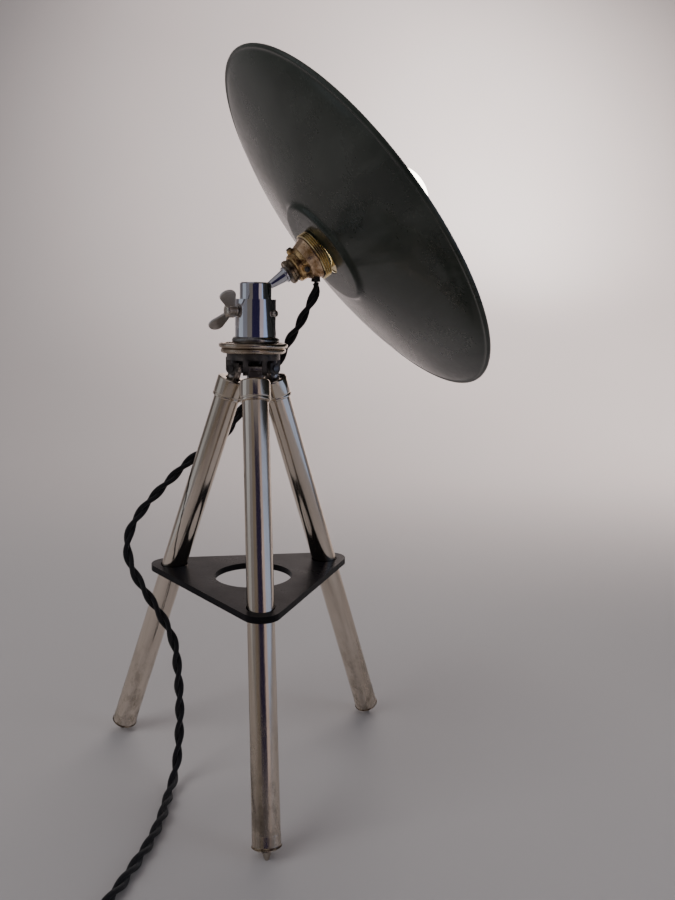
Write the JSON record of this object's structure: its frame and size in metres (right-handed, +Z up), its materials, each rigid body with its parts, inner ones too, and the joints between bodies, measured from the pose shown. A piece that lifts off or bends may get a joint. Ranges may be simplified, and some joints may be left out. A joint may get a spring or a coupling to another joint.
{
  "type": "tripod lamp",
  "caption": "Lamp on a closed telescoping camera tripod, with a drop-notch ball head, brass lampholder and shallow enamelled dish shade on a twisted flex.",
  "frame": {"origin": "on the floor, under the middle of the lamp's own box without its cord", "axes": "+Z up; front leg towards -Y; the lamp leans towards +X, turned 8 degrees towards +Y"},
  "size_m": [0.3152, 0.4652, 0.5525],
  "materials": {
    "nickel": "worn nickel plate, warm tarnish, polished along the tube",
    "chrome": "polished chrome",
    "dark_steel": "blackened steel",
    "black_casting": "black enamelled casting",
    "spreader_black": "satin black sheet, softly glossy",
    "enamel": "vitreous enamel, near-black green outside, white inside, chipped",
    "brass": "bright brass, turned",
    "old_brass": "darkened cast brass, mottled",
    "copper_skirt": "smooth pinkish brass",
    "porcelain": "glazed porcelain",
    "bulb_cap_metal": "plain screw cap",
    "bulb_glass": "opal glass, lit warm white",
    "flex": "black braided twisted flex",
    "plug_plastic": "moulded black",
    "grommet_rubber": "matt",
    "pin_nickel": "plated pins",
    "tie_fabric": "woven strap"
  },
  "bodies": {
    "stand": {"crown": "black_casting", "crown_screws": "dark_steel", "hinge_pins": "dark_steel", "top_plate": "nickel", "top_disc": "nickel", "tripod_screw": "chrome", "cord_tube": "flex", "cord_coil": "flex", "cord_tail": "flex", "coil_tie": "tie_fabric", "plug_body": "plug_plastic", "plug_pins": "pin_nickel"},
    "front_leg": {"front_leg_knuckle": "black_casting", "front_leg_rivet": "nickel", "front_leg_collar": "nickel", "front_leg_tube": "nickel", "front_leg_end_ring": "nickel"},
    "right_leg": {"right_leg_knuckle": "black_casting", "right_leg_rivet": "nickel", "right_leg_collar": "nickel", "right_leg_tube": "nickel", "right_leg_end_ring": "nickel"},
    "left_leg": {"left_leg_knuckle": "black_casting", "left_leg_rivet": "nickel", "left_leg_collar": "nickel", "left_leg_tube": "nickel", "left_leg_end_ring": "nickel"},
    "front_foot": {"front_inner_tube": "nickel", "front_spike_foot": "dark_steel"},
    "right_foot": {"right_inner_tube": "nickel", "right_spike_foot": "dark_steel"},
    "left_foot": {"left_inner_tube": "nickel", "left_spike_foot": "dark_steel"},
    "spreader": {"spreader_plate": "spreader_black"},
    "ball_head": {"head_foot_ring": "dark_steel", "head_body": "chrome", "head_cap": "chrome", "brake_pad": "brass", "stop_screw": "dark_steel"},
    "wing": {"wing_screw": "nickel"},
    "lamp_arm": {"ball_stud": "chrome", "stud_nut": "old_brass", "holder_cap": "old_brass", "holder_cap_screws": "dark_steel", "holder_skirt": "copper_skirt", "holder_ring": "brass", "holder_barrel": "brass", "porcelain_insert": "porcelain", "lamp_contacts": "brass", "clamp_ring": "brass", "cord_grommet": "grommet_rubber", "bulb_cap": "bulb_cap_metal", "bulb_glass": "bulb_glass"},
    "dish": {"shade": "enamel", "shade_rim_wire": "dark_steel"}
  },
  "joints": [
    {"name": "front_leg_fold", "type": "hinge", "parent": "stand", "child": "front_leg", "pos_m": [-0.02683, -0.02553, 0.32615], "axis": [1, 0, 0], "range_deg": [0, 3]},
    {"name": "right_leg_fold", "type": "hinge", "parent": "stand", "child": "right_leg", "pos_m": [-0.01419, -0.00363, 0.32615], "axis": [-0.5, 0.866, 0], "range_deg": [0, 3]},
    {"name": "left_leg_fold", "type": "hinge", "parent": "stand", "child": "left_leg", "pos_m": [-0.03948, -0.00363, 0.32615], "axis": [-0.5, -0.866, 0], "range_deg": [0, 3]},
    {"name": "spreader_slide", "type": "slide", "parent": "stand", "child": "spreader", "axis": [0, 0, -1], "range_m": [0, 0.033]},
    {"name": "front_leg_extend", "type": "slide", "parent": "front_leg", "child": "front_foot", "axis": [0, -0.3338, -0.9426], "range_m": [0, 0.28]},
    {"name": "right_leg_extend", "type": "slide", "parent": "right_leg", "child": "right_foot", "axis": [0.2891, 0.1669, -0.9426], "range_m": [0, 0.28]},
    {"name": "left_leg_extend", "type": "slide", "parent": "left_leg", "child": "left_foot", "axis": [-0.2891, 0.1669, -0.9426], "range_m": [0, 0.28]},
    {"name": "head_pan", "type": "hinge", "parent": "stand", "child": "ball_head", "pos_m": [-0.02503, -0.01063, 0.34505], "axis": [0, 0, 1], "range_deg": [-90, 90], "deforming": ["cord_tube"]},
    {"name": "wing_screw_turn", "type": "hinge", "parent": "ball_head", "child": "wing", "pos_m": [-0.02503, -0.01063, 0.37005], "axis": [-0.9397, -0.342, 0], "range_deg": [0, 180]},
    {"name": "ball_tilt", "type": "hinge", "parent": "ball_head", "child": "lamp_arm", "pos_m": [-0.02503, -0.01063, 0.38205], "axis": [-0.1392, 0.9903, 0], "range_deg": [-80, 32], "deforming": ["cord_tube"]},
    {"name": "shade_turn", "type": "hinge", "parent": "lamp_arm", "child": "dish", "pos_m": [0.02643, -0.0034, 0.41373], "axis": [0.775, 0.1089, 0.6225], "continuous": true}
  ],
  "couplings": [
    {"joint": "right_leg_fold", "follows": "front_leg_fold", "ratio": 1},
    {"joint": "left_leg_fold", "follows": "front_leg_fold", "ratio": 1},
    {"joint": "spreader_slide", "follows": "front_leg_fold", "m_per_rad": 0.6297}
  ]
}
